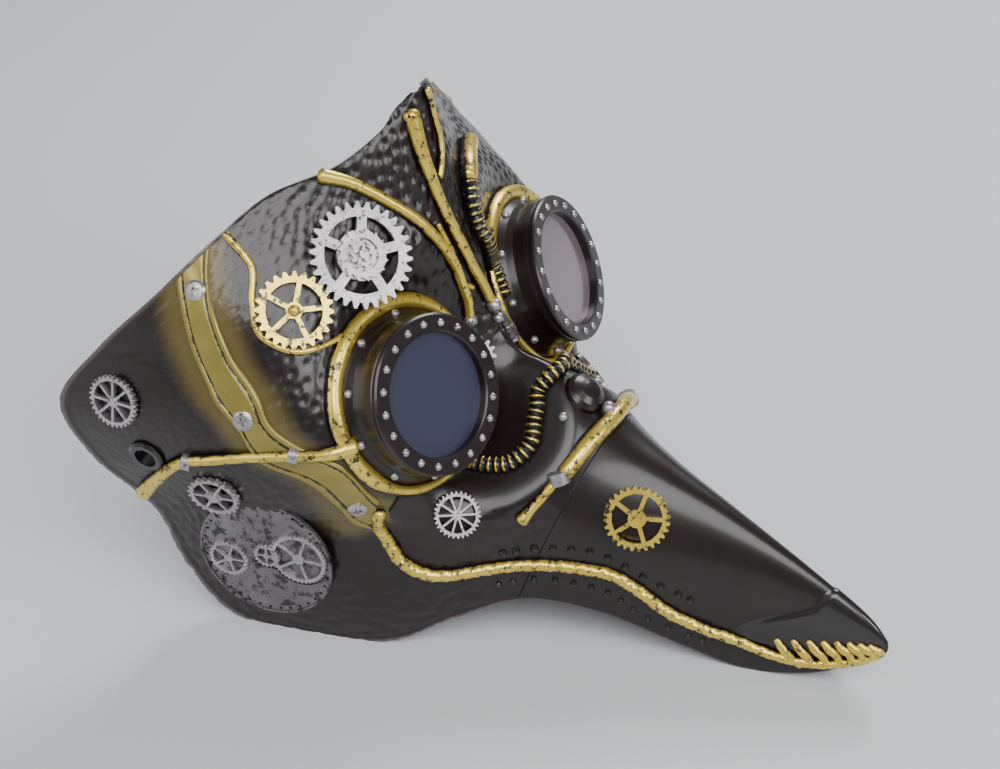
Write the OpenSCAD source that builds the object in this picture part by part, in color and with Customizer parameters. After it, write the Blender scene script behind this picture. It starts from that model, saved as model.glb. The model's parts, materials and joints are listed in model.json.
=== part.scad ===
// Plague doctor mask: a moulded face shell and beak with goggles, piping, hoses and gears.
// Millimetres. +Z is up with the mask standing on its cheek edges and beak edges, the beak
// points along -Y, and the wearer's right is -X. The origin is on the table under the middle.

/* [Shell] */
// Wall thickness of the moulded face and beak
wall = 2.6; // [2:0.2:3.2]
// Rows of facets per station along the mask, from forehead to beak tip
row_steps = 3; // [2:1:4]
// Columns of facets on each half of the mask
col_steps = 11; // [8:1:14]

/* [Goggles] */
// Distance of each goggle's axis from the middle of the mask
eye_x = 47; // [46:0.5:48]
// Outward turn of each goggle, in degrees
eye_splay = 11; // [9:1:13]
// Upward tilt of each goggle in the standing position, in degrees
eye_tilt = 26; // [24:1:28]
// Outer radius of the goggle bezel
bezel_r = 27.5; // [27:0.5:28]
// Radius of the lens opening in the bezel
view_r = 21.2; // [20:0.2:22]
// Depth of the goggle from bezel face to its seat on the face
cup_h = 17; // [15:1:19]
// Number of rivets on each bezel
bezel_rivets_n = 20; // [16:1:24]

/* [Strap eyelets] */
// Bore radius of the strap eyelet
eyelet_r = 4; // [3:0.5:4.5]

/* [Gears] */
// Outer radius of the big temple gear
temple_gear_r = 18; // [16:0.5:19]
// Outer radius of the brass gear that meshes with it
brass_gear_r = 13; // [11:0.5:14]
// Outer radius of the beak gear
beak_gear_r = 11.6; // [10:0.2:12.5]
// Radius of the clockwork movement on the cheek
movement_r = 25; // [22:1:26]
// Thickness of the raised gears
gear_t = 1.6; // [1.2:0.2:2.2]

/* [Piping] */
// Radius of the brow and cheek piping
pipe_r = 1.9; // [1.6:0.1:2.2]
// Radius of the ribbed hoses
hose_r = 2.9; // [2.5:0.1:3.2]
// Thickness of the temple strap
strap_t = 1.2; // [1:0.1:1.6]

/* [Hidden] */

brass = "#c9a63a";
steel = "#b8b0b4";
umber = "#2a1c1c";
olive = "#6b5f2a";
sink = 0.4;         // how deep trim is bedded in the shell

// ---- the skin: the outer surface of the mask ---------------------------------------------
// Each station gives the middle of the mask (y, z), its edge (x, y, z) and three fullness
// factors: how wide the curve between them runs near the middle and near the edge, and how far
// it keeps the middle's height. Stations run from the forehead peak to the beak tip.
STATIONS = [
    [46, 192, 0, 46, 192, 0.60, 1.00, 0.50],
    [45, 186, 9, 52, 184, 0.45, 0.85, 0.40],
    [43, 177, 17, 54, 178, 0.40, 0.80, 0.35],
    [39, 164, 32, 62, 170, 0.36, 0.80, 0.33],
    [35, 150, 50, 77, 164, 0.38, 0.85, 0.36],
    [31, 137, 70, 88, 152, 0.46, 0.86, 0.55],
    [26, 124, 85, 100, 137, 0.60, 0.92, 0.62],
    [21, 113, 93, 119, 116, 0.72, 0.96, 0.66],
    [17, 106, 98, 136, 91, 0.78, 1.00, 0.68],
    [14, 101, 95, 127, 68, 0.80, 1.00, 0.66],
    [10, 98, 87, 109, 47, 0.80, 1.00, 0.62],
    [6, 96, 82, 101, 20, 0.75, 1.00, 0.58],
    [1, 95, 78, 80, 0, 0.70, 1.00, 0.54],
    [-5, 93, 65, 32, 0, 0.65, 1.00, 0.50],
    [-15, 88, 52, 6, 13, 0.62, 1.00, 0.50],
    [-31, 76, 40, -15, 21, 0.50, 0.92, 0.50],
    [-50, 67, 29, -40, 17, 0.48, 0.90, 0.50],
    [-72, 58, 20, -67, 7, 0.52, 0.94, 0.50],
    [-94, 48, 13, -89, 0, 0.56, 1.00, 0.50],
    [-114, 38, 8, -110, 3, 0.56, 1.00, 0.50],
    [-129, 29, 4, -126, 11, 0.58, 1.00, 0.50],
    [-137, 20, 0, -137, 19, 0.60, 1.00, 0.50],
];
top_u = 0.5;        // first row of the shell, just below the very peak
split_u = 14.9;     // where the beak meets the face
tip_u = 20.85;      // last row of the beak

// Smooth curve through the rows of a table
function through(t, rows) = let (n = len(rows), i = min(max(floor(t), 0), n - 2), f = t - i,
    a = rows[max(i - 1, 0)], b = rows[i], c = rows[i + 1], d = rows[min(i + 2, n - 1)])
    (2 * b + (c - a) * f + (2 * a - 5 * b + 4 * c - d) * f * f
        + (3 * b - a - 3 * c + d) * f * f * f) / 2;
function unit(v) = v / norm(v);
function ease(x) = let (k = min(max(x, 0), 1)) k * k * (3 - 2 * k);

// Point of the plain skin at station u and share v of the way from middle to edge
function plain(u, v) = let (s = through(u, STATIONS),
    b1 = 3 * v * (1 - v) * (1 - v), b2 = 3 * v * v * (1 - v), b3 = v * v * v, b0 = 1 - b1 - b2 - b3)
    [-(b1 * s[5] + b2 * s[6] + b3) * s[2],
        (b0 + b1) * s[0] + b2 * (s[3] + s[7] * (s[0] - s[3])) + b3 * s[3],
        (b0 + b1) * s[1] + b2 * (s[4] + s[7] * (s[1] - s[4])) + b3 * s[4]];

// The right goggle's frame: centre of the bezel face, axis, across and up
eye_c = [-eye_x, 14, 104];
eye_n = [-sin(eye_splay), -cos(eye_splay) * cos(eye_tilt), cos(eye_splay) * sin(eye_tilt)];
eye_a = unit(cross([0, 0, 1], eye_n));
eye_b = cross(eye_n, eye_a);
seat_r = 31;        // flat part of the seat
seat_blend = 52;    // where the seat has faded into the face

// The skin is pushed along the goggle axis on to a flat seat around the goggle
function seated(p) = let (d = p - eye_c, h = d * eye_n, r = norm(d - h * eye_n))
    p + (1 - ease((r - seat_r) / (seat_blend - seat_r))) * (-cup_h - h) * eye_n;
function on_floor(p) = [p[0], p[1], max(p[2], 0)];
// The skin on both halves: w from 0 to 1 is the right half and from 0 to -1 the left
function skin(u, w) = let (p = on_floor(seated(plain(u, abs(w))))) w < 0 ? [-p[0], p[1], p[2]] : p;
// Outward normal: along the mask crossed with across the mask, taken on the right half
function half_normal(u, v) = let (e = 0.02, a = seated(plain(u + e, v)) - seated(plain(u - e, v)),
    b = seated(plain(u, min(v + e, 1))) - seated(plain(u, v - e))) unit(cross(b, a));
function skin_n(u, w) = let (q = half_normal(min(max(u, top_u), tip_u), abs(w)))
    abs(w) < 0.001 ? unit([0, q[1], q[2]]) : w < 0 ? [-q[0], q[1], q[2]] : q;
function lifted(u, w, h) = skin(u, w) + h * skin_n(u, w);

// ---- helpers that turn grids, routes and edges into solids -------------------------------
// Closed solid between an outer and an inner grid of points, both [row][column]
module slab(outer, inner) {
    r = len(outer);
    c = len(outer[0]);
    points = concat([for (g = [outer, inner]) for (row = g) each row]);
    function at(k, i, j) = k * r * c + i * c + j;
    faces = concat(
        [for (i = [0:r - 2], j = [0:c - 2]) each [
            [at(0, i, j), at(0, i + 1, j), at(0, i + 1, j + 1)],
            [at(0, i, j), at(0, i + 1, j + 1), at(0, i, j + 1)],
            [at(1, i, j), at(1, i + 1, j + 1), at(1, i + 1, j)],
            [at(1, i, j), at(1, i, j + 1), at(1, i + 1, j + 1)]]],
        [for (i = [0:r - 2]) each [
            [at(0, i, 0), at(1, i, 0), at(1, i + 1, 0)],
            [at(0, i, 0), at(1, i + 1, 0), at(0, i + 1, 0)],
            [at(0, i, c - 1), at(1, i + 1, c - 1), at(1, i, c - 1)],
            [at(0, i, c - 1), at(0, i + 1, c - 1), at(1, i + 1, c - 1)]]],
        [for (j = [0:c - 2]) each [
            [at(0, 0, j), at(1, 0, j + 1), at(1, 0, j)],
            [at(0, 0, j), at(0, 0, j + 1), at(1, 0, j + 1)],
            [at(0, r - 1, j), at(1, r - 1, j), at(1, r - 1, j + 1)],
            [at(0, r - 1, j), at(1, r - 1, j + 1), at(0, r - 1, j + 1)]]]);
    polyhedron(points, faces);
}

// Round tube along a route of [u, w, height, radius] rows laid on the skin
module tube(rows, steps = 3, sides = 8) {
    n = (len(rows) - 1) * steps;
    q = [for (k = [0:n]) through(k / steps, rows)];
    p = [for (k = q) lifted(k[0], k[1], k[2])];
    rings = [for (k = [0:n]) let (t = unit(p[min(k + 1, n)] - p[max(k - 1, 0)]),
        side = unit(cross(skin_n(q[k][0], q[k][1]), t)), up = cross(t, side))
        [for (a = [0:sides - 1]) p[k] + q[k][3] * (cos(360 * a / sides) * side + sin(360 * a / sides) * up)]];
    faces = concat(
        [for (i = [0:n - 1], a = [0:sides - 1]) let (b = (a + 1) % sides)
            each [[i * sides + a, (i + 1) * sides + a, (i + 1) * sides + b],
                [i * sides + a, (i + 1) * sides + b, i * sides + b]]],
        [[for (a = [0:sides - 1]) a], [for (a = [sides - 1:-1:0]) n * sides + a]]);
    polyhedron([for (r = rings) each r], faces);
}

// Plate that follows the skin between two edges, each a list of [u, w] rows
module plate(edge_a, edge_b, t, steps = 3, across = 3) {
    n = (len(edge_a) - 1) * steps;
    function uw(i, j) = let (a = through(i / steps, edge_a), b = through(i / steps, edge_b))
        a + (b - a) * j / across;
    function sheet(h) = [for (i = [0:n]) [for (j = [0:across])
        let (q = uw(i, j)) lifted(q[0], q[1], h)]];
    slab(sheet(t), sheet(-sink));
}

// Children stand on the skin, their z along its normal and their y towards the top
module on_skin(u, w, lift = 0, spin = 0) {
    n = skin_n(u, w);
    a = unit(cross([0, 0, 1], n));
    b = cross(n, a);
    p = lifted(u, w, lift);
    multmatrix([[a[0], b[0], n[0], p[0]], [a[1], b[1], n[1], p[1]], [a[2], b[2], n[2], p[2]], [0, 0, 0, 1]])
        rotate(spin) children();
}

// Children stand in the right goggle's frame, their z along its axis
module at_eye() {
    multmatrix([[eye_a[0], eye_b[0], eye_n[0], eye_c[0]], [eye_a[1], eye_b[1], eye_n[1], eye_c[1]],
        [eye_a[2], eye_b[2], eye_n[2], eye_c[2]], [0, 0, 0, 1]]) children();
}

module left() { mirror([1, 0, 0]) children(); }
module both() { children(); left() children(); }

// Flat outline of a gear: a toothed rim, a ring of windows and a hub
module gear_outline(r, teeth, tooth, rim, hub, spokes, spoke_w) {
    difference() {
        polygon([for (k = [0:teeth - 1], s = [0:3]) let (a = 360 * (k + s / 4 + 0.1) / teeth,
            q = (s == 1 || s == 2) ? r : r - tooth) q * [cos(a), sin(a)]]);
        difference() {
            circle(r - tooth - rim);
            circle(hub);
            for (k = [0:spokes - 1]) rotate(360 * k / spokes) translate([0, -spoke_w / 2]) square([r,
                spoke_w]);
        }
    }
}
// A gear with its hub boss and the stub axle that fixes it in the shell
module gear(r, teeth, tooth, rim, hub, spokes, spoke_w, boss_h = 1) {
    linear_extrude(gear_t) gear_outline(r, teeth, tooth, rim, hub, spokes, spoke_w);
    translate([0, 0, -2]) cylinder(r = hub * 0.7, h = gear_t + 2 + boss_h, $fn = 32);
}

// ---- shell pieces ------------------------------------------------------------------------
function wall_at(u) = min(wall, 0.6 * through(u, STATIONS)[2]);
function columns(reach = 1) = [for (j = [-col_steps:col_steps]) reach * j / col_steps];
function grid(rows, k) = [for (r = rows) [for (w = columns()) lifted(r[0], w, r[k])]];
function face_rows() = let (n = round((split_u - top_u) * row_steps))
    [for (i = [0:n]) let (u = top_u + (split_u - top_u) * i / n) [u, 0, -wall_at(u)]];
lap_u = 14.3;       // where the beak's inner lip starts, inside the face shell
lip = 1.8;          // thickness of that lip
function beak_rows() = let (n = round((tip_u - split_u) * row_steps)) concat(
    [[lap_u, -wall - 0.1, -wall - lip], [split_u, -wall - 0.1, -wall - lip]],
    [for (i = [0:n]) let (u = split_u + 0.02 + (tip_u - split_u - 0.02) * i / n)
        [u, 0, -max(wall_at(u), (wall + lip) * (u < split_u + 0.2 ? 1 : 0))]]);

module lens_cutter() { at_eye() translate([0, 0, -cup_h - 12]) cylinder(r = 24.2, h = 16, $fn = 48); }
eyelet_u = 8.9;
eyelet_w = 0.88;
module eyelet_cutter() {
    on_skin(eyelet_u, eyelet_w) translate([0, 0, -6]) cylinder(r = eyelet_r + 1.4, h = 12, $fn = 32);
}
module face_shell() {
    rows = face_rows();
    color(umber) resize([0, 0, 0]) difference() {
        slab(grid(rows, 1), grid(rows, 2));
        both() lens_cutter();
        both() eyelet_cutter();
    }
}
module beak_shell() {
    rows = beak_rows();
    color(umber) slab(grid(rows, 1), grid(rows, 2));
}
// The dark cap over the beak tip starts along a line that sweeps back down the sides
function cap_u(w) = 19 - 0.2 * ease(abs(w) / 0.45) - 1.1 * ease((abs(w) - 0.38) / 0.45);
module beak_tip_cap() {
    columns = [for (j = [-8:8]) 0.8 * j / 8];
    function sheet(h) = [for (i = [0:7]) [for (w = columns)
        let (u = cap_u(w) + (tip_u - 0.15 - cap_u(w)) * i / 7) lifted(u, w, h)]];
    color("#1c1418") slab(sheet(0.8), sheet(-0.3));
}
module nose_cap() {
    color(umber) on_skin(14.15, 0) rotate_extrude($fn = 48)
        polygon([[0, -1], [8, -1], [7.6, 0.8], [6.2, 2.4], [4, 3.6], [2, 4.1], [0, 4.3]]);
}

// ---- beak collar -------------------------------------------------------------------------
module beak_collar() {
    color(brass) tube([[14.63, 0.37, 1.6, 3], [14.68, 0.28, 1.6, 3], [14.72, 0.18, 1.6, 3],
        [14.77, 0.06, 1.7, 3],
        [14.77, -0.06, 1.7, 3], [14.72, -0.18, 1.6, 3], [14.68, -0.28, 1.6, 3], [14.63, -0.37, 1.6, 3]]);
}
module collar_ferrules() {
    color(steel) both() on_skin(14.58, 0.4, 1.4) rotate(12) rotate([90, 0, 0])
        translate([0, 0, -2.2]) cylinder(r = 3.7, h = 4.4, $fn = 32);
}
module collar_branch() {
    color(brass) tube([[14.55, 0.44, 1, 1.8], [14.5, 0.5, 1, 1.7], [14.44, 0.55, 0.9, 1.7],
        [14.38, 0.6, 0.8, 2.4]]);
}

// ---- goggles -----------------------------------------------------------------------------
module goggle_housing() {
    s = -cup_h;
    color(umber) at_eye() rotate_extrude($fn = 96) polygon([
        [22.6, s - 5], [24, s - 5], [24, s], [30.6, s], [30.6, s + 1.6], [29.4, s + 3.2], [27.8, s + 5.4],
        [26.8, s + 8], [26.4, -4.6], [22.6, -4.6]]);
}
module goggle_bezel() {
    color(umber) at_eye() rotate_extrude($fn = 96) polygon([
        [view_r, -3.2], [view_r, -0.4], [view_r + 0.6, 0], [bezel_r - 0.6, 0], [bezel_r, -0.6],
            [bezel_r, -1.6],
        [bezel_r - 0.9, -2], [bezel_r - 0.9, -2.6], [bezel_r - 0.3, -3], [bezel_r - 0.3, -4.6],
        [22.6, -4.6], [22.6, -3.2]]);
}
module lens() {
    color("#4a4c62") at_eye() translate([0, 0, -5.2]) cylinder(r = 22.6, h = 2, $fn = 96);
}
module lens_retainer() {
    color("#101012") at_eye() translate([0, 0, -7.2]) rotate_extrude($fn = 96)
        polygon([[20.6, 0], [22.6, 0], [22.6, 2], [20.6, 2]]);
}
module bezel_rivets() {
    color(steel) both() at_eye() for (k = [0:bezel_rivets_n - 1]) rotate(360 * (k + 0.5) / bezel_rivets_n)
        translate([(bezel_r + view_r) / 2 - 0.2, 0, -0.2]) rotate_extrude($fn = 16)
            polygon([[0, -0.6], [1.3, -0.6], [1.3, 0.3], [0.9, 0.9], [0, 1.2]]);
}
module housing_studs() {
    color(steel) both() at_eye() for (k = [0:9]) rotate(36 * k + 10)
        translate([28.7, 0, -cup_h + 4.2]) sphere(r = 1.5, $fn = 16);
}
module eye_ring() {
    color(brass) at_eye() translate([0, 0, 1.3 - cup_h]) rotate_extrude($fn = 72)
        translate([32.6, 0]) circle(r = 2, $fn = 20);
}

// ---- tubes, piping, hoses ----------------------------------------------------------------
module cheek_tube() {
    color(brass) tube([[9.37, 0.485, 2, 3.2], [9.27, 0.55, 1.4, 2.1], [9.1, 0.6, 1.2, pipe_r],
        [8.97, 0.67, 1.2, pipe_r],
        [8.96, 0.74, 1.2, pipe_r], [9, 0.81, 1.2, 2], [9.37, 0.9, 1.2, 2.3], [9.66, 0.975, 1.4, 3]]);
}
module ferrule(u, w, spin) {
    on_skin(u, w, 1.1, spin) rotate([0, 90, 0]) translate([0, 0, -1.7]) cylinder(r = 2.9, h = 3.4,
        $fn = 24);
}
module tube_ferrules() {
    color(steel) both() {
        ferrule(9.1, 0.595, -5);
        ferrule(9, 0.8, -8);
    }
}
module brow_pipe() {
    color(brass) tube([[3.27, 0.97, 1.6, 2.6], [3.37, 0.72, 1.3, 2.1], [3.73, 0.46, 1.2, pipe_r],
        [4.3, 0.25, 1.2, pipe_r],
        [5.3, 0.1, 1.2, pipe_r], [6.3, 0.05, 1.2, 1.8], [7.1, 0.045, 1, 1.7]], 4);
}
module brow_knob() { color(steel) on_skin(7.27, 0.045, 1.2) sphere(r = 2.4, $fn = 24); }
module crest_tube() {
    color(brass) tube([[1.4, 0.52, 1.4, 3.1], [2.4, 0.33, 1.4, 2.5], [3.3, 0.2, 1.3, 2.1],
        [4.2, 0.11, 1.3, 2],
        [5.1, 0.05, 1.3, 2], [6.2, 0.01, 1.3, 1.9], [7, 0, 1.2, 1.8]], 4);
}
module crest_wire() {
    color(brass) {
        tube([[0.6, 0.05, 0.8, 1.3], [1.2, 0, 0.8, 1.2], [2, -0.02, 0.8, 1.1], [2.5, 0, 0.8, 1.1],
            [3.3, 0.12, 0.8, 1.1]]);
        tube([[4.4, 0.16, 0.6, 1], [5.1, 0.1, 0.6, 1], [5.8, 0.07, 0.6, 1], [6.3, 0.03, 0.6, 1]]);
    }
}
module crest_knobs() {
    color(steel) {
        on_skin(7.2, 0, 1.4) sphere(r = 2.7, $fn = 24);
        both() on_skin(14.17, 0.15, 0.8) sphere(r = 1.8, $fn = 24);
        on_skin(14.6, 0, 3.4) sphere(r = 2.4, $fn = 24);
        on_skin(7.85, 0, 0.6) sphere(r = 2, $fn = 24);
    }
}
module forehead_hose() {
    color("#8d7430") tube([[3.85, -0.19, 2.2, hose_r], [4.3, -0.1, 2.2, hose_r], [4.85, -0.07, 2.2, hose_r],
        [5.45, -0.07, 2.2, hose_r], [6.3, -0.11, 2.2, hose_r], [7, -0.1, 2.2, hose_r],
            [7.6, -0.085, 2.2, hose_r]]);
}
module forehead_hose_elbow() {
    color(brass) tube([[4.35, -0.52, 1.6, 3.2], [4, -0.4, 2, 3.2], [3.8, -0.29, 2.2, 3.3],
        [3.85, -0.18, 2.2, 3.3]]);
}
BRIDGE = [[13.35, 0.38, 1.8], [13.85, 0.4, 2.2], [14.1, 0.37, 2.4], [14.15, 0.27, 2.4],
    [13.85, 0.15, 2.4], [13.35, 0.07, 2.8]];
module bridge_hose() {
    route = concat([for (r = BRIDGE) [r[0], r[1], r[2], hose_r]], [[13.15, 0, 3, hose_r]],
        [for (k = [len(BRIDGE) - 1:-1:0]) [BRIDGE[k][0], -BRIDGE[k][1], BRIDGE[k][2], hose_r]]);
    color("#8d7430") tube(route);
}
module bridge_hose_sockets() {
    color(brass) both() tube([[12.95, 0.375, 1.4, 3.4], [13.15, 0.375, 1.6, 3.3],
        [13.4, 0.38, 1.8, 3.2]], 2);
}
module gear_pipe() {
    color(brass) tube([[4.75, 0.98, 0.8, 1.4], [5.1, 0.84, 0.7, 1.3], [5.63, 0.775, 0.7, 1.2],
        [6.1, 0.715, 0.7, 1.2],
        [6.33, 0.65, 0.7, 1.1], [6.43, 0.585, 0.7, 1.1], [6.27, 0.505, 0.7, 1], [6, 0.42, 0.7, 0.9]]);
}
module mouth_band() {
    color(brass) tube([[11.75, 0.575, 0.8, 2.2], [12.4, 0.63, 0.8, 2.3], [12.8, 0.705, 0.8, 2.4],
        [13.2, 0.75, 0.8, 2.4],
        [13.8, 0.79, 0.8, 2.2], [14.4, 0.8, 0.8, 2.2], [15, 0.805, 0.8, 2.2], [15.5, 0.79, 0.8, 2.2],
        [15.95, 0.775, 0.8, 2.2], [16.35, 0.8, 0.8, 2.2], [16.75, 0.84, 0.8, 2.2], [17.25, 0.845, 0.8, 2.1],
        [17.9, 0.83, 0.8, 2], [18.6, 0.87, 0.8, 1.8], [19.3, 0.9, 0.7, 1.7], [20, 0.92, 0.7, 1.5],
        [20.6, 0.92, 0.6, 1.2]]);
}

// ---- straps, panels, rivets --------------------------------------------------------------
module temple_strap() {
    color(olive) plate([[5.65, 0.985], [6.5, 0.85], [7.4, 0.73], [8.25, 0.65], [9.6, 0.67],
        [11.15, 0.64], [12.1, 0.615]],
        [[5, 0.985], [5.8, 0.87], [6.55, 0.75], [7.55, 0.615], [9.1, 0.57], [10.85, 0.575],
            [11.4, 0.565]], strap_t);
}
module strap_screw(u, w) {
    on_skin(u, w, strap_t - 0.2, 20) difference() {
        union() {
            rotate_extrude($fn = 32) polygon([[0, 0], [3.5, 0], [3.5, 0.6], [2.6, 1.3], [0, 1.6]]);
            translate([0, 0, -3]) cylinder(r = 1.2, h = 3.2, $fn = 24);
        }
        for (k = [0, 90]) rotate(k) translate([-1.8, -0.4, 0.7]) cube([3.6, 0.8, 2]);
    }
}
module strap_screws() {
    color(steel) both() {
        strap_screw(5.7, 0.925);
        strap_screw(7.9, 0.64);
        strap_screw(11.25, 0.61);
    }
}
module cheek_panel() {
    color("#241a1c") plate([[11.9, 0.56], [12.4, 0.6], [12.85, 0.67], [13.25, 0.715], [13.7, 0.745]],
        [[11.8, 0.52], [12.3, 0.48], [12.85, 0.445], [13.3, 0.45], [13.6, 0.58]], 0.8);
}
module cheek_panels() { both() cheek_panel(); }
module rivet_row(rows, count, r) {
    for (k = [0:count - 1]) {
        q = through(k * (len(rows) - 1) / (count - 1), rows);
        on_skin(q[0], q[1], 0.1) rotate_extrude($fn = 16)
            polygon([[0, -0.6], [r, -0.6], [r, 0.2], [0.65 * r, 0.7 * r], [0, 0.9 * r]]);
    }
}
module band_rivets() {
    color("#3a2c2c") both() {
        rivet_row([[14.35, 0.745], [15, 0.725], [15.7, 0.7], [16.4, 0.73], [17, 0.735]], 12, 1.4);
        rivet_row([[14.5, 0.895], [15.3, 0.885], [16, 0.885], [16.55, 0.93], [17.3, 0.925]], 13, 1.1);
    }
}
module beak_claws() {
    claws = 8;
    color(brass) both() for (k = [0:claws - 1]) {
        u = 18.4 + 0.26 * k;
        top_w = 0.75 - 0.025 * k;
        tube([[u, top_w, 0.8, 1.1], [u + 0.17, top_w + 0.06, 1, 1.7], [u + 0.35, top_w + 0.12, 0.9, 1.6],
            [min(u + 0.5, 20.7), 0.92, 0.6, 1.1]], 2, 6);
    }
}
module strap_eyelet() {
    color("#161010") on_skin(eyelet_u, eyelet_w) difference() {
        rotate_extrude($fn = 64) polygon([[eyelet_r, -wall - 1.2], [eyelet_r + 2.6, -wall - 1.2],
            [eyelet_r + 2.6, -wall - 0.3],
            [eyelet_r + 1.2, -wall - 0.1], [eyelet_r + 1.2, 0.2], [eyelet_r + 2.6, 0.3],
                [eyelet_r + 2.6, 0.9],
            [eyelet_r + 1.6, 1.6], [eyelet_r, 1.6]]);
    }
}

// ---- gears -------------------------------------------------------------------------------
module temple_gear() {
    color(steel) on_skin(4.8, 0.5, 1.6) difference() {
        union() {
            linear_extrude(gear_t) gear_outline(temple_gear_r, 30, 2.2, 2.8, 8.6, 5, 3.4);
            translate([0, 0, -4]) cylinder(r = 4, h = 5, $fn = 32);
        }
        translate([0, 0, gear_t]) cylinder(r = 3.2, h = 3, $fn = 32);
    }
}
module ratchet() {
    teeth = 16;
    color(steel) on_skin(4.8, 0.5, 1.7 + gear_t) {
        linear_extrude(1.2) difference() {
            polygon([for (k = [0:teeth - 1], s = [0, 1]) let (a = 360 * (k + s * 0.85) / teeth,
                q = s == 0 ? 7.4 : 9) q * [cos(a), sin(a)]]);
            circle(r = 5.6, $fn = 48);
        }
        translate([0, 0, -0.1]) linear_extrude(2) gear_outline(4.6, 10, 0.9, 0.8, 1.6, 5, 0.9);
        for (k = [0:2]) rotate(120 * k) translate([4.2, -0.6, 0]) cube([1.8, 1.2, 0.9]);
        cylinder(r = 1.6, h = 2.8, $fn = 24);
    }
}
module brass_gear() {
    color(brass) on_skin(5.73, 0.645, 0.9) {
        gear(brass_gear_r, 24, 1.6, 2, 2.8, 5, 1.7, 0.4);
        translate([0, 0, gear_t]) sphere(r = 2, $fn = 24);
    }
}
module rear_gear() { color(steel) on_skin(7.77, 0.9, 0.7) gear(9.5, 30, 1, 1, 2, 8, 0.9, 0.5); }
module cheek_gear() { color(steel) on_skin(13.2, 0.555, 1.2) gear(8.2, 30, 0.9, 0.9, 1.7, 10, 0.7, 0.4); }
module beak_gear() {
    color(brass) on_skin(15.97, 0.445, 0.8) {
        gear(beak_gear_r, 28, 1.3, 1.5, 3.2, 5, 1.5, 0.3);
        linear_extrude(gear_t + 0.5) difference() {
            circle(r = 3.2, $fn = 32);
            circle(r = 1.6, $fn = 24);
        }
    }
}
module nose_gears() {
    color(steel) both() {
        on_skin(9.3, 0.055, 1) gear(6.2, 12, 1.6, 1.2, 1.5, 4, 1, 0.3);
    }
}
module side_gears() { color(steel) both() on_skin(9.9, 0.835, 0.7) gear(9.5, 22, 0.9, 1.3, 3, 6, 1, 0.8); }
module movement() {
    color(steel) on_skin(11.4, 0.81, 1.2) {
        translate([0, 0, -3]) cylinder(r = 5, h = 3.2, $fn = 32);
        linear_extrude(1) difference() {
            circle(r = movement_r, $fn = 96);
            for (k = [0:35]) rotate(10 * k) translate([movement_r - 1.8, 0]) circle(r = 0.6, $fn = 12);
        }
        difference() {
            cylinder(r = movement_r, h = 1.5, $fn = 96);
            translate([0, 0, -1]) cylinder(r = movement_r - 0.7, h = 4, $fn = 96);
        }
        linear_extrude(1.9) difference() {
            intersection() {
                circle(r = movement_r - 3.6, $fn = 64);
                translate([-4, -24]) square([26, 20]);
            }
            translate([13, 3]) circle(r = 11.5, $fn = 48);
            translate([-14, -3]) circle(r = 9, $fn = 48);
        }
    }
}
module movement_wheels() {
    color(steel) both() on_skin(11.4, 0.81, 2.3) {
        translate([-14, -3]) linear_extrude(1.4) gear_outline(7.6, 26, 0.7, 1, 1.6, 5, 0.8);
        translate([13, 3]) linear_extrude(1.2) gear_outline(10.6, 40, 0.6, 1.1, 2.2, 5, 1);
        translate([1, 2]) linear_extrude(1.6) gear_outline(5, 18, 0.7, 0.8, 1.2, 4, 0.7);
    }
}

// ---- one line for each node --------------------------------------------------------------
face_shell();
beak_shell();
beak_tip_cap();
beak_collar();
collar_ferrules();
collar_branch();  // collar_branch_right
left() collar_branch();  // collar_branch_left
nose_cap();
goggle_housing();  // goggle_housing_right
left() goggle_housing();  // goggle_housing_left
goggle_bezel();  // goggle_bezel_right
left() goggle_bezel();  // goggle_bezel_left
lens();  // lens_right
left() lens();  // lens_left
lens_retainer();  // lens_retainer_right
left() lens_retainer();  // lens_retainer_left
bezel_rivets();
housing_studs();
eye_ring();  // eye_ring_right
left() eye_ring();  // eye_ring_left
cheek_tube();  // cheek_tube_right
left() cheek_tube();  // cheek_tube_left
tube_ferrules();
temple_strap();  // temple_strap_right
left() temple_strap();  // temple_strap_left
strap_screws();
brow_pipe();
brow_knob();
crest_tube();
crest_wire();
crest_knobs();
forehead_hose();
forehead_hose_elbow();
bridge_hose();
bridge_hose_sockets();
temple_gear();
ratchet();
brass_gear();
rear_gear();  // rear_gear_right
left() rear_gear();  // rear_gear_left
cheek_gear();  // cheek_gear_right
left() cheek_gear();  // cheek_gear_left
beak_gear();
nose_gears();
side_gears();
movement();  // movement_right
left() movement();  // movement_left
movement_wheels();
gear_pipe();
mouth_band();  // mouth_band_right
left() mouth_band();  // mouth_band_left
band_rivets();
beak_claws();
cheek_panels();
strap_eyelet();  // strap_eyelet_right
left() strap_eyelet();  // strap_eyelet_left
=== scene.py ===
# %% [markdown]
# # Plague doctor mask
# A steampunk beaked mask moulded in one thin skin, painted nearly black, with riveted goggles,
# ribbed hoses, piping and gears laid on it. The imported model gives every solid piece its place;
# this script rebuilds the pieces whose surface matters from the same skin formula, finer and with
# their relief, and paints all of them. Lengths on the skin are in millimetres, Blender is in metres.

# %% Load the frame
import json
import math

import bpy
import numpy as np
from mathutils import Matrix
from mathutils.kdtree import KDTree


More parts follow.
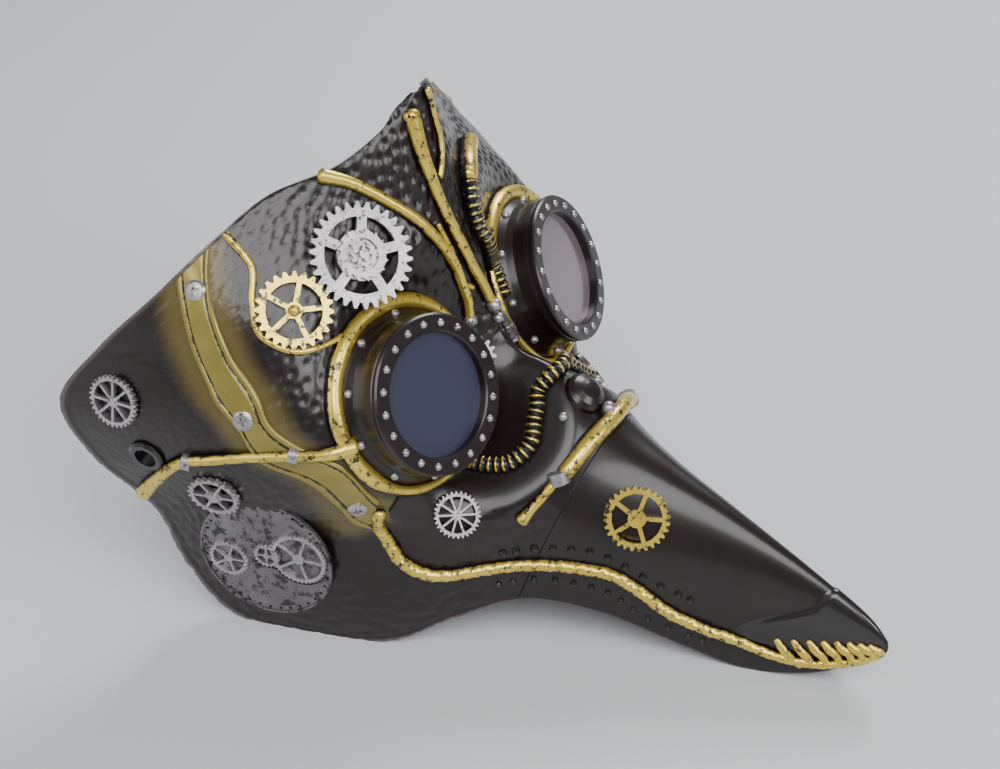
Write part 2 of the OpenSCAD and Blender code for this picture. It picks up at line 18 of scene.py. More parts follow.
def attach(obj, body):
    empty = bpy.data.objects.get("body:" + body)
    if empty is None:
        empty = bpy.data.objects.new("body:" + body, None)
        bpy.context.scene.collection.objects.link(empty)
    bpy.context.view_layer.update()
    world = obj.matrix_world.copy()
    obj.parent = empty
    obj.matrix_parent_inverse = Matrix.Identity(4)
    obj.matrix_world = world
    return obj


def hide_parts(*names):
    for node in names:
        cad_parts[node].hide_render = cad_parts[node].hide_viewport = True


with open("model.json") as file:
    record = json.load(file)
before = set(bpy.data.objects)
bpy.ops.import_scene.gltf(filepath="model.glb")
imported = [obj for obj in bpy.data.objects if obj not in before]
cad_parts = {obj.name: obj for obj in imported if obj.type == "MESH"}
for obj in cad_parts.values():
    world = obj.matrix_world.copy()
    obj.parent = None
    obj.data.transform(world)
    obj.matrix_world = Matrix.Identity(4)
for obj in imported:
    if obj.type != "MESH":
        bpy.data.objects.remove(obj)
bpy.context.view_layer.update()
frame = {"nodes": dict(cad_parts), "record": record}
MM = 0.001
rng = np.random.default_rng(7)

# %% [markdown]
# ## The skin
# The mask is one sheet that runs from the forehead peak to the beak tip. A table of stations gives
# its middle and its edge, and a cubic curve joins the two. It could be sculpted by hand, but the
# formula keeps every trim piece exactly on the surface: each is laid by station u and share w.

# %% Stations and the skin formula
STATIONS = np.array([
    # middle y, z; edge x, y, z; fullness near the middle, near the edge, and of the height
    [46, 192, 0, 46, 192, .60, 1.0, .50], [45, 186, 9, 52, 184, .45, .85, .40],
    [43, 177, 17, 54, 178, .40, .80, .35], [39, 164, 32, 62, 170, .36, .80, .33],
    [35, 150, 50, 77, 164, .38, .85, .36], [31, 137, 70, 88, 152, .46, .86, .55],
    [26, 124, 85, 100, 137, .60, .92, .62], [21, 113, 93, 119, 116, .72, .96, .66],
    [17, 106, 98, 136, 91, .78, 1.0, .68], [14, 101, 95, 127, 68, .80, 1.0, .66],
    [10, 98, 87, 109, 47, .80, 1.0, .62], [6, 96, 82, 101, 20, .75, 1.0, .58],
    [1, 95, 78, 80, 0, .70, 1.0, .54], [-5, 93, 65, 32, 0, .65, 1.0, .50],
    [-15, 88, 52, 6, 13, .62, 1.0, .50], [-31, 76, 40, -15, 21, .50, .92, .50],
    [-50, 67, 29, -40, 17, .48, .90, .50], [-72, 58, 20, -67, 7, .52, .94, .50],
    [-94, 48, 13, -89, 0, .56, 1.0, .50], [-114, 38, 8, -110, 3, .56, 1.0, .50],
    [-129, 29, 4, -126, 11, .58, 1.0, .50], [-137, 20, 0, -137, 19, .60, 1.0, .50]], float)
TOP_U, SPLIT_U, TIP_U = 0.5, 14.9, 20.85    # the peak, where the beak starts, and its tip
WALL = 2.6
# The goggle's axis is splayed outward and tilted up, and its cup stands on a flat seat CUP deep
EYE_X, SPLAY, TILT, CUP = 47.0, math.radians(11), math.radians(26), 17.0
EYE_C = np.array([-EYE_X, 14.0, 104.0])
EYE_N = np.array([-math.sin(SPLAY), -math.cos(SPLAY) * math.cos(TILT),
                  math.cos(SPLAY) * math.sin(TILT)])
SEAT_R, SEAT_FADE = 31, 21
MIRROR = np.array([-1, 1, 1])


def ease(x):
    """Smooth step: three times the square less twice the cube, between 0 and 1."""
    x = np.clip(x, 0, 1)
    return x * x * (3 - 2 * x)


def through(t, rows):
    """Catmull-Rom curve through the rows of a table, at places t counted in rows."""
    rows = np.asarray(rows, float)
    i = np.clip(np.floor(t).astype(int), 0, len(rows) - 2)
    f = (t - i)[..., None]
    a, b, c, d = (rows[np.clip(i + k, 0, len(rows) - 1)] for k in (-1, 0, 1, 2))
    return (2 * b + (c - a) * f + (2 * a - 5 * b + 4 * c - d) * f**2
            + (3 * b - a - 3 * c + d) * f**3) / 2


def half_skin(u, v):
    """Right half of the skin. Across, a cubic curve: middle, two fullness points and edge.
    Round the goggle it is pushed along the goggle's axis on to a flat seat, which fades out."""
    u, v = np.broadcast_arrays(np.asarray(u, float), np.asarray(v, float))
    my, mz, ex, ey, ez, k1, k3, k2 = np.moveaxis(through(u, STATIONS), -1, 0)
    b1, b2, b3 = 3 * v * (1 - v)**2, 3 * v * v * (1 - v), v**3
    b0 = 1 - b1 - b2 - b3
    p = np.stack([-(b1 * k1 + b2 * k3 + b3) * ex,
                  (b0 + b1) * my + b2 * (ey + k2 * (my - ey)) + b3 * ey,
                  (b0 + b1) * mz + b2 * (ez + k2 * (mz - ez)) + b3 * ez], -1)
    d = p - EYE_C
    h = d @ EYE_N
    r = np.linalg.norm(d - h[..., None] * EYE_N, axis=-1)
    return p + ((1 - ease((r - SEAT_R) / SEAT_FADE)) * (-CUP - h))[..., None] * EYE_N


def rest_on_floor(*grids):
    """Raise every point that is under the floor on to it."""
    for points in grids:
        points[..., 2] = np.maximum(points[..., 2], 0)


def skin(u, w):
    """Both halves: w from 0 to 1 is the right half and 0 to -1 its mirror image."""
    p = half_skin(u, np.abs(w))
    p[..., 0] *= np.where(np.asarray(w) < 0, -1, 1)
    rest_on_floor(p)
    return p


def skin_normal(u, w):
    """Outward normal: a short step across the mask crossed with a short step along it.
    On the middle line, where the halves meet, it has no sideways part."""
    u, w = np.broadcast_arrays(np.asarray(u, float), np.asarray(w, float))
    short, v, uu = 0.02, np.abs(w), np.clip(u, TOP_U, TIP_U)
    along = half_skin(uu + short, v) - half_skin(uu - short, v)
    across = half_skin(uu, np.minimum(v + short, 1)) - half_skin(uu, v - short)
    n = np.cross(across, along)
    n[..., 0] = np.where(v < 1e-3, 0, n[..., 0])
    n /= np.linalg.norm(n, axis=-1, keepdims=True)
    n[..., 0] *= np.where(w < 0, -1, 1)
    return n


def lifted(u, w, h):
    """Point h millimetres out from the skin."""
    return skin(u, w) + np.asarray(h)[..., None] * skin_normal(u, w)


def wall_depth(u):
    """Thickness of the wall: even, but at most 0.6 of the mask's half width at that station, so
    the inside closes up towards the peak and the tip."""
    return np.minimum(WALL, 0.6 * through(u, STATIONS)[..., 2])[..., None]


print("peak", skin(TOP_U, 0.0), "tip", skin(TIP_U, 0.0))

# %% [markdown]
# ## From grids to pieces
# Everything laid on the skin is either a sheet between two grids of points or a round tube along a
# route, so two builders are enough. Each also stores how dark a point is kept: paint brushed over a
# black ground stays off the low places, and that dark is partly painted shade, so it follows the
# shape and isn't random.

# %% Mesh builders


def make_piece(name, points, faces, material, nodes=(), slot="gold_paint", sharp=40, **fields):
    """Mesh object from points in millimetres, with named values stored at its points."""
    mesh = bpy.data.meshes.new(name)
    mesh.from_pydata((np.asarray(points) * MM).tolist(), [], faces)
    mesh.polygons.foreach_set("use_smooth", [True] * len(mesh.polygons))
    mesh.set_sharp_from_angle(angle=math.radians(sharp))
    for key, values in fields.items():
        stored = mesh.attributes.new(key, "FLOAT", "POINT")
        stored.data.foreach_set("value", np.asarray(values, np.float32).ravel())
    mesh.materials.append(material)
    obj = bpy.data.objects.new(name, mesh)
    bpy.context.scene.collection.objects.link(obj)
    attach(obj, "root")
    if nodes:
        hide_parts(*nodes)
    print(name, len(mesh.vertices), "points")
    return obj


def sheet_faces(rows, cols, keep):
    """Quads of the outer grid, the same turned over for the inner one, and a wall along each
    free edge, which is a side that only one quad has."""
    at = np.arange(rows * cols).reshape(rows, cols)
    quads = np.stack([at[:-1, :-1], at[:-1, 1:], at[1:, 1:], at[1:, :-1]], -1)[keep]
    sides = np.concatenate([quads[:, [k, (k + 1) % 4]] for k in range(4)])
    key = sides.min(1) * rows * cols + sides.max(1)
    _, first, count = np.unique(key, return_index=True, return_counts=True)
    a, b = sides[first[count == 1]].T
    n = rows * cols
    return np.concatenate([quads, quads[:, ::-1] + n, np.stack([b, a, a + n, b + n], -1)])


def sheet(name, outer, inner, material, keep=None, **kw):
    """Closed sheet between an outer and an inner grid, less the cells that keep leaves out.
    Values given for the outer grid are 0 on the inner one."""
    rows, cols = outer.shape[:2]
    keep = np.ones((rows - 1, cols - 1), bool) if keep is None else keep
    faces = sheet_faces(rows, cols, keep)
    used, faces = np.unique(faces, return_inverse=True)
    points = np.concatenate([outer.reshape(-1, 3), inner.reshape(-1, 3)])[used]
    fields, rest = {}, {}
    for key, value in kw.items():
        if isinstance(value, np.ndarray):
            fields[key] = np.concatenate([value.ravel(), np.zeros(value.size)])[used]
        else:
            rest[key] = value
    return make_piece(name, points, faces.reshape(-1, 4).tolist(), material, **rest, **fields)


WAVES = ((0.9, 2, 0), (1.7, 3, 2), (2.9, 1, 4))     # radians per mm along, bumps round, start
END_TURNS, END_REACH = np.radians([30, 55, 75, 88]), 0.6


def tube_rings(rows, pitch=0.0, depth=0.0, rough=0.0, step=0.6, sides=28):
    """Rings along a route of [u, w, height, radius]. The radius rises and falls once per rib pitch,
    and a few slow waves make it uneven. Both ends close in a flattened quarter circle. The side of
    the tube against the skin and the valleys between the ribs are kept dark: grime and painted shade."""
    rows = np.asarray(rows, float)
    t = np.linspace(0, len(rows) - 1, 40 * len(rows))
    q = through(t, rows)
    path = lifted(q[:, 0], q[:, 1], q[:, 2])
    s = np.r_[0, np.cumsum(np.linalg.norm(np.diff(path, axis=0), axis=1))]
    places = np.linspace(0, s[-1], max(int(s[-1] / step), 8))
    q = through(np.interp(places, s, t), rows)
    path = lifted(q[:, 0], q[:, 1], q[:, 2])
    tangent = np.gradient(path, axis=0)
    tangent /= np.linalg.norm(tangent, axis=1, keepdims=True)
    side = np.cross(skin_normal(q[:, 0], q[:, 1]), tangent)
    side /= np.linalg.norm(side, axis=1, keepdims=True)
    up = np.cross(tangent, side)
    a = np.linspace(0, 2 * np.pi, sides, endpoint=False)
    rib = 0.5 + 0.5 * np.cos(2 * np.pi * places / pitch) if pitch else np.ones(len(places))
    wave = sum(np.sin(places[:, None] * k + a * m + ph) for k, m, ph in WAVES) / len(WAVES)
    radius = (q[:, 3] * (1 - depth * (1 - np.sqrt(rib))))[:, None] * (1 + rough * wave)
    outward = np.cos(a)[:, None] * side[:, None] + np.sin(a)[:, None] * up[:, None]
    ring = path[:, None] + radius[..., None] * outward
    # painted shade: the side against the skin and the rib valleys are darkened, along with grime
    low = 1 - ease((np.sin(a)[None] + 0.75) / 1.1) * np.ones((len(places), 1))
    grime = np.maximum(low * 0.8, (1 - rib)[:, None] * 0.9 if pitch else 0)
    caps = []
    for end, way in ((0, -1), (-1, 1)):
        reach = way * END_REACH * q[end, 3] * np.sin(END_TURNS)[:, None]
        centre = path[end] + reach * tangent[end]
        caps.append(centre[:, None] + np.cos(END_TURNS)[:, None, None] * (ring[end] - path[end]))
    ring = np.concatenate([caps[0][::-1], ring, caps[1]])
    grime = np.concatenate([np.repeat(grime[:1], len(END_TURNS), 0), grime,
                            np.repeat(grime[-1:], len(END_TURNS), 0)])
    return ring, grime


def tube_faces(n, sides, start=0):
    """Quads round and along the rings, and a cap at each end."""
    at = np.arange(n * sides).reshape(n, sides) + start
    nxt = np.roll(at, -1, axis=1)
    quads = np.stack([at[:-1], nxt[:-1], nxt[1:], at[1:]], -1).reshape(-1, 4).tolist()
    return quads + [at[0][::-1].tolist(), at[-1].tolist()]


def mirrored(rows):
    """The same route on the other half."""
    return [[r[0], -r[1], *r[2:]] for r in rows]


def tubes(name, routes, material, sharp=60, nodes=(), slot="gold_paint", **shape):
    """One piece made of a tube for each route."""
    points, faces, grime, start = [], [], [], 0
    for rows in routes:
        # each tube's painted shade and grime, kept with its points
        ring, dirt_and_shade = tube_rings(rows, **shape)
        faces += tube_faces(*ring.shape[:2], start)
        start += ring.shape[0] * ring.shape[1]
        points.append(ring.reshape(-1, 3))
        grime.append(dirt_and_shade.ravel())
    return make_piece(name, np.concatenate(points), faces, material, nodes, slot, sharp,
                      grime=np.concatenate(grime))


# %% [markdown]
# ## Paints
# The real thing is moulded resin: sprayed brown-black with a gloss varnish, then dry-brushed with
# gold and silver paint that catches the high places. A metal shader with a black ground showing
# through worn patches says that better than clean metal would.

# %% Materials


def colour(code):
    """Linear colour of an sRGB hex code."""
    c = np.array([int(code[k:k + 2], 16) / 255 for k in (1, 3, 5)])
    return (*np.where(c <= 0.04045, c / 12.92, ((c + 0.055) / 1.055)**2.4), 1.0)


def add(tree, kind, settings=None, **inputs):
    """A node with its settings, and each input either a value or another node's output.
    Base_Color names the input Base Color, and i2 names the third input by its number."""
    n = tree.nodes.new(kind)
    for key, value in (settings or {}).items():
        setattr(n, key, value)
    for key, value in inputs.items():
        numbered = key[0] == "i" and key[1:].isdigit()
        socket = n.inputs[int(key[1:]) if numbered else key.replace("_", " ")]
        if isinstance(value, bpy.types.NodeSocket):
            tree.links.new(value, socket)
        else:
            socket.default_value = value
    return n


def blank(name):
    """An empty material and its tree, with the object's own coordinates."""
    m = bpy.data.materials.new(name)
    m.use_nodes = True
    m.node_tree.nodes.clear()
    return m, m.node_tree, add(m.node_tree, "ShaderNodeTexCoord").outputs["Object"]


def ramp(tree, value, low, high):
    """0 below low, 1 above high."""
    return add(tree, "ShaderNodeMapRange", {"interpolation_type": "SMOOTHSTEP"},
               i0=value, i1=low, i2=high).outputs[0]


def mix(tree, share, a, b):
    """Colour a where share is 0 and b where it is 1."""
    n = tree.nodes.new("ShaderNodeMix")
    n.data_type = "RGBA"
    for socket, value in ((n.inputs[0], share), (n.inputs[6], a), (n.inputs[7], b)):
        if isinstance(value, bpy.types.NodeSocket):
            tree.links.new(value, socket)
        else:
            socket.default_value = value
    return n.outputs[2]


def noise(tree, where, size_mm, detail=4.0, rough=0.55):
    """Noise whose lumps are about size_mm across."""
    return add(tree, "ShaderNodeTexNoise", Vector=where, Scale=1 / (size_mm * MM), Detail=detail,
               Roughness=rough).outputs["Fac"]


WEAR_EDGE = 0.09    # how softly worn patches end


def worn_paint(name, top, shade, ground, metal=0.85, rough=0.34, wear=0.42, size_mm=2.2):
    """Metallic paint brushed over a black ground: the ground shows in the grime and painted shade, and in
    worn patches.
    """
    m, t, where = blank(name)
    patch = noise(t, where, size_mm, 6.0, 0.7)
    broad = noise(t, where, size_mm * 5)
    # this attribute holds grime and painted shade in the low places: where it is high, the black ground
    # shows
    grime = add(t, "ShaderNodeAttribute", {"attribute_name": "grime"}).outputs["Fac"]
    left = add(t, "ShaderNodeMath", {"operation": "SUBTRACT"}, i0=patch, i1=grime).outputs[0]
    worn = ramp(t, left, wear - WEAR_EDGE, wear)
    tone = mix(t, broad, colour(shade), colour(top))
    base = mix(t, worn, colour(ground), tone)
    metallic = add(t, "ShaderNodeMath", {"operation": "MULTIPLY"}, i0=worn, i1=metal).outputs[0]
    bump = add(t, "ShaderNodeBump", Height=patch, Strength=0.35, Distance=0.15 * MM)
    s = add(t, "ShaderNodeBsdfPrincipled", Base_Color=base, Metallic=metallic, Roughness=rough,
            Normal=bump.outputs[0], IOR=1.5, Coat_Weight=0.25, Coat_Roughness=0.2)
    add(t, "ShaderNodeOutputMaterial", Surface=s.outputs[0])
    return m


def shell_paint():
    """Brown-black gloss over moulded resin, with olive-gold overspray and a pale line along the rim that is
    a painted highlight.
    """
    m, t, where = blank("moulded resin, brown-black gloss")
    broad, fine = noise(t, where, 14), noise(t, where, 1.1, 3.0, 0.6)
    spray, rim, grain = (add(t, "ShaderNodeAttribute", {"attribute_name": key}).outputs["Fac"]
                         for key in ("spray", "rim", "grain"))
    base = mix(t, broad, colour("#0c0505"), colour("#1e1010"))
    base = mix(t, spray, base, colour("#7a6c34"))
    # painted highlight: the rim attribute lightens the free edge
    base = mix(t, rim, base, colour("#54494c"))
    height = add(t, "ShaderNodeMath", {"operation": "MULTIPLY"}, i0=fine, i1=grain).outputs[0]
    bump = add(t, "ShaderNodeBump", Height=height, Strength=0.5, Distance=0.3 * MM)
    s = add(t, "ShaderNodeBsdfPrincipled", Base_Color=base, Roughness=0.34, IOR=1.5,
            Normal=bump.outputs[0], Specular_IOR_Level=0.4, Coat_Weight=0.3, Coat_Roughness=0.15)
    add(t, "ShaderNodeOutputMaterial", Surface=s.outputs[0])
    return m


def plain_paint(name, code, rough, **more):
    """One even colour."""
    m, t, _ = blank(name)
    s = add(t, "ShaderNodeBsdfPrincipled", Base_Color=colour(code), Roughness=rough, IOR=1.5, **more)
    add(t, "ShaderNodeOutputMaterial", Surface=s.outputs[0])
    return m


# Dry-brushed metallic paint glints on the high places and leaves its black ground in the low ones; that dark
# is partly painted shade
GOLD = worn_paint("gold paint dry-brushed on resin", "#f6e070", "#cfa932", "#0e0906",
                  wear=0.47, size_mm=2.8)
SILVER = worn_paint("silver paint dry-brushed on resin", "#cfc9cc", "#8c8488", "#0e0a0c",
                    wear=0.45, size_mm=1.6)
HOSE = worn_paint("gold paint brushed on hose ribs", "#f0d868", "#b8942e", "#0c0807",
                  wear=0.4, size_mm=1.4)
# Olive over the strap is half as metallic, so it reads as dull and even
OLIVE = worn_paint("olive-gold paint on resin", "#a3954a", "#776a30", "#17120a",
                   metal=0.5, rough=0.36, wear=0.32)
# Dark bronze keeps only a faint metal sheen; the disc is rubbed, so broad black patches stay on it
BEZEL = worn_paint("dark bronze paint on resin", "#372c30", "#1f1618", "#0e090b",
                   metal=0.5, rough=0.3, wear=0.3)
DISC = worn_paint("silver paint rubbed over black resin", "#9a9398", "#4c4648", "#120d0f",
                  wear=0.5, size_mm=4.5)
SHELL = shell_paint()
BLACK = plain_paint("black gloss paint on resin", "#120c0e", 0.3, Coat_Weight=0.5)
# Smoked lenses let nothing be seen behind them, so they are opaque and glossy. The far lens is the same
# acrylic; its lighter mauve-grey is a painted reflection
LENS_NEAR, LENS_FAR_PAINTED_REFLECTION = (plain_paint(name, code, 0.16, Specular_IOR_Level=0.6, Coat_Weight=0.4)
                       for name, code in (("smoked acrylic, blue-grey", "#34374a"),
                                          ("smoked acrylic, painted mauve-grey reflection", "#6b5f66")))
FLOOR = plain_paint("pale studio floor", "#c9ccce", 0.7)
PAINT_OF = {"gold_paint": GOLD, "silver_paint": SILVER, "olive_paint": OLIVE, "hose_paint": HOSE,
            "moulded_shell": SHELL, "black_paint": BLACK, "lens": LENS_NEAR}
for part in frame["record"]["subparts"]:
    node = frame["nodes"][part["node"]]
    paint = PAINT_OF[part["material_slot"]]
    if part["node"].startswith("goggle"):
        paint = BEZEL if "bezel" in part["node"] else SHELL
    if part["node"] in ("movement_right", "movement_left"):
        paint = DISC
    # the far lens gets the lighter colour of a painted reflection
    if part["node"] == "lens_left":
        paint = LENS_FAR_PAINTED_REFLECTION
    node.data.materials.clear()
    node.data.materials.append(paint)

# %% [markdown]
# ## The shell
# Hammered leather: long shallow dimples crowd the forehead and the cheeks, the temple is finely
# grained and the beak is smooth. The dimples are pressed into the mesh itself, since their edges
# catch the light; only the finest grain is left to the shader.

# %% Face and beak


NEIGHBOURS = [(a, b, c) for a in (-1, 0, 1) for b in (-1, 0, 1) for c in (-1, 0, 1)]


def scatter(spacing, squeeze):
    """Centres at least one spacing apart, picked in random order from a fine grid over the face.
    Each is kept in a cell one spacing wide, so only the cells next to it are compared."""
    u, w = np.meshgrid(np.linspace(TOP_U, SPLIT_U, 220), np.linspace(-1, 1, 300), indexing="ij")
    points = skin(u, w).reshape(-1, 3) * squeeze
    taken, centres = {}, []
    for x, y, z in points[rng.permutation(len(points))].tolist():
        cell = (int(x // spacing), int(y // spacing), int(z // spacing))
        around = [(cell[0] + a, cell[1] + b, cell[2] + c) for a, b, c in NEIGHBOURS]
        if all(math.dist((x, y, z), q) > spacing for key in around for q in taken.get(key, ())):
            taken.setdefault(cell, []).append((x, y, z))
            centres.append((x, y, z))
    tree = KDTree(len(centres))
    for k, centre in enumerate(centres):
        tree.insert(centre, k)
    tree.balance()
    print("dents", len(centres), "spaced", spacing)
    return tree


def dimples(p, tree, spacing, depth, squeeze):
    """Round-bottomed dents: deepest at each centre and gone at DENT_REACH of the spacing."""
    near = np.array([tree.find(q)[2] for q in (p * squeeze).reshape(-1, 3).tolist()])
    return -depth * (1 - ease(near / (DENT_REACH * spacing))).reshape(p.shape[:2])


def band(x, low, high, soft):
    """1 between low and high, fading out over soft on both sides."""
    return ease((x - low + soft) / soft) * (1 - ease((x - high) / soft))


def grid(u0, u1, rows, cols):
    """Stations down and shares across, as two grids."""
    return np.meshgrid(np.linspace(u0, u1, rows), np.linspace(-1, 1, cols), indexing="ij")


def eye_radius(p):
    """Distance from the axis of the goggle on the same side."""
    d = np.stack([-np.abs(p[..., 0]), p[..., 1], p[..., 2]], -1) - EYE_C
    return np.linalg.norm(d - (d @ EYE_N)[..., None] * EYE_N, axis=-1)


# The temple strap's two edges, as [station, share]; paint was sprayed along its middle
STRAP_REAR = [[5.65, .985], [6.5, .85], [7.4, .73], [8.25, .65], [9.6, .67],
              [11.15, .64], [12.1, .615]]
STRAP_FRONT = [[5, .985], [5.8, .87], [6.55, .75], [7.55, .615], [9.1, .57],
               [10.85, .575], [11.4, .565]]
strap_middle = through(np.linspace(0, 6, 60), (np.array(STRAP_REAR) + STRAP_FRONT) / 2)

# Dents: spacing, depth, and a squeeze that makes the hammered ones longer upright
HAMMER, HAMMER_DEPTH, HAMMER_SQUEEZE = 3.0, 0.45, np.array([1, 1, 0.6])
GRAIN, GRAIN_DEPTH, GRAIN_SQUEEZE = 2.3, 0.22, np.array([1, 1, 1])
DENT_REACH = 0.62
hammer_tree, grain_tree = scatter(HAMMER, HAMMER_SQUEEZE), scatter(GRAIN, GRAIN_SQUEEZE)

HOLE_R, EYELET_R, EYELET_U, EYELET_W = 24.1, 5.2, 8.9, 0.88
SET_BACK = 0.05     # the painted skin lies this far inside the surface that the trim is laid on
CALM_R, CALM_FADE = 33, 5      # no dents from the goggle's axis out to here
SEAT_REACH = 8                 # only skin this close to the seat's level is cut by the goggle hole


def mirror_like(vector, w):
    """The right side's vector, turned to the side each point is on."""
    side = np.where(w < 0, -1.0, 1.0)[..., None]
    return vector * np.concatenate([side, np.ones_like(side), np.ones_like(side)], -1)


def all_corners(good):
    """Cells whose four corner points are all good."""
    return good[:-1, :-1] & good[1:, :-1] & good[:-1, 1:] & good[1:, 1:]


def face_part(name, u0, u1, rows, cols, nodes):
    """A stretch of the face: the skin lowered in dents, less the goggle and eyelet holes, over a
    plain inside. Points near a goggle hole snap to its circle, so its edge is round."""
    u, w = grid(u0, u1, rows, cols)
    v = np.abs(w)
    p, n = skin(u, w), skin_normal(u, w)
    r = eye_radius(p)
    calm = ease((r - CALM_R) / CALM_FADE)
    side_panel = 1 - ease((v - 0.55) / 0.15) * band(u, 5.5, 14, 1) * 0.75
    forehead = band(u, 1.0, 8.2, 0.8) * side_panel
    cheek = band(u, 10.2, 14.4, 0.8) * ease((v - 0.52) / 0.1)
    hammered = calm * np.maximum(forehead, cheek)
    temple = calm * band(u, 5.5, 11, 1) * ease((v - 0.62) / 0.1)
    relief = hammered * dimples(p, hammer_tree, HAMMER, HAMMER_DEPTH, HAMMER_SQUEEZE)
    relief += temple * dimples(p, grain_tree, GRAIN, GRAIN_DEPTH, GRAIN_SQUEEZE)
    relief -= 0.5 * np.exp(-((v - 0.02) / 0.006)**2) * band(u, 1, 6, 0.5)    # crease by the middle
    relief += 0.4 * ease((v - 0.982) / 0.012)                                # raised rim
    to_strap = np.min(np.hypot(u[..., None] - strap_middle[:, 0],
                               (v[..., None] - strap_middle[:, 1]) * 7), axis=-1)
    spray = 0.5 * (1 - ease((to_strap - 0.3) / 0.36)) * calm
    c, axis = mirror_like(EYE_C, w), mirror_like(EYE_N, w)
    h = np.sum((p - c) * axis, -1, keepdims=True)
    radial = p - c - h * axis
    to_circle = radial * (HOLE_R / np.maximum(r, 1)[..., None] - 1)
    snap = np.where((r < HOLE_R + 0.5)[..., None], to_circle, 0)
    off_eyelet = np.linalg.norm(p - mirror_like(skin(EYELET_U, EYELET_W), w), axis=-1) > EYELET_R
    off_goggle = (r > HOLE_R - 0.5) | (np.abs(h[..., 0] + CUP) > SEAT_REACH)
    keep = all_corners(off_goggle & off_eyelet)
    outer = p + snap + (relief - SET_BACK)[..., None] * n
    inner = p + snap - wall_depth(u) * n
    rest_on_floor(outer, inner)
    # rim marks the free edge, where a painted highlight lightens the shell
    sheet(name, outer, inner, SHELL, keep, nodes=nodes, slot="moulded_shell", sharp=50,
          spray=spray, rim=ease((v - 0.988) / 0.008), grain=0.25 + 0.5 * temple)


def beak_shell():
    """The beak: smooth gloss with a faint ripple, and a shallow groove along each lower side."""
    u, w = grid(SPLIT_U + 0.02, TIP_U, 120, 190)
    v = np.abs(w)
    p, n = skin(u, w), skin_normal(u, w)
    groove, ripple = -0.35 * np.exp(-((v - 0.87) / 0.03)**2), 0.075 * np.sin(u * 2.1 + v * 5)
    relief = groove + ripple * (v < 0.7)
    outer = p + (relief - SET_BACK)[..., None] * n
    inner = p - np.maximum(wall_depth(u), 0.4) * n
    rest_on_floor(outer, inner)
    # rim marks the free edge, where a painted highlight lightens the shell
    sheet("beak_skin", outer, inner, SHELL, nodes=["beak_shell"], slot="moulded_shell", sharp=50,
          spray=0 * v, rim=ease((v - 0.99) / 0.008), grain=0 * v)


face_part("forehead_skin", TOP_U, 8.0, 130, 370, ["face_shell"])
face_part("cheek_skin", 8.0, SPLIT_U, 130, 370, [])
beak_shell()

# %% [markdown]
# ## Trim laid on the skin
# The cap over the tip, the cheek panels and the temple straps are thin sheets. The strap is cast
# with a raised edge on both sides and a groove inside each, so its section is drawn as a profile.

# %% Tip cap, cheek panels and straps


def between(edge_a, edge_b, rows, cols):
    """Stations and shares of a grid that runs along two edges and across from one to the other."""
    t = np.linspace(0, len(edge_a) - 1, rows)
    a, b = through(t, edge_a), through(t, edge_b)
    f = np.linspace(0, 1, cols)[None, :, None]
    g = a[:, None] * (1 - f) + b[:, None] * f
    return g[..., 0], g[..., 1], f[..., 0] + 0 * g[..., 0]


def laid_sheet(name, u, w, height, material, flip=False, **kw):
    """Sheet on the skin with the given height at each grid point."""
    outer, inner = lifted(u, w, height), lifted(u, w, LAID_UNDER + 0 * u)
    if flip:
        outer, inner = outer[:, ::-1], inner[:, ::-1]
    return sheet(name, outer, inner, material, **kw)


def tip_cap():
    """Black cap over the tip: its upper edge sweeps back down both sides, and is rounded off."""
    w = np.linspace(-0.8, 0.8, 90)[None, :] + np.zeros((60, 1))
    start = 19 - 0.2 * ease(np.abs(w) / 0.45) - 1.1 * ease((np.abs(w) - 0.38) / 0.45)
    f = np.linspace(0, 1, 60)[:, None]
    u = start + (TIP_U - 0.15 - start) * f
    laid_sheet("tip_cap", u, w, 0.75 * ease(f * 12) + 0 * w, BLACK,
               nodes=["beak_tip_cap"], slot="black_paint")


PANEL_OUT = [[11.9, .56], [12.4, .6], [12.85, .67], [13.25, .715], [13.7, .745]]
PANEL_IN = [[11.8, .52], [12.3, .48], [12.85, .445], [13.3, .45], [13.6, .58]]
SIDES = ((1, "right"), (-1, "left"))
STRAP_T, LAID_UNDER = 1.2, -0.4     # strap's thickness, and how far under the skin a sheet's back is


def cheek_panel(side, word):
    """Leather-grained panel over the cheekbone, thinner round its edge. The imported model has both
    panels in one node, so the right one replaces it."""
    u, w, f = between(PANEL_IN, PANEL_OUT, 60, 40)
    rim = np.minimum(np.minimum(f, 1 - f) * 8, 1)
    laid_sheet("cheek_panel_" + word, u, w * side, 0.3 + 0.5 * ease(rim), SHELL, flip=side < 0,
               slot="moulded_shell", nodes=["cheek_panels"] if side > 0 else (), grain=0.4 + 0 * u)


def temple_strap(side, word):
    """Strap STRAP_T thick, its edges eased off, with a groove along each and a faint ripple
    between. The grooves are kept dark, partly grime and partly painted shade."""
    u, w, f = between(STRAP_FRONT, STRAP_REAR, 150, 44)
    to_edge, groove = np.minimum(f, 1 - f), 0.17
    profile = STRAP_T - 0.55 * np.exp(-((to_edge - groove) / 0.035)**2)
    profile = profile - 0.5 * (1 - ease(to_edge / 0.05))
    profile -= 0.08 * (1 + np.sin(u * 9 + f * 7)) * ease((to_edge - 0.2) / 0.1)
    # the grooves' darkening is painted shade as well as grime
    laid_sheet("strap_" + word, u, w * side, profile, OLIVE, flip=side < 0, slot="olive_paint",
               nodes=["temple_strap_" + word], grime=np.exp(-((to_edge - groove) / 0.04)**2) * 0.35)


tip_cap()
for side, word in SIDES:
    cheek_panel(side, word)
    temple_strap(side, word)
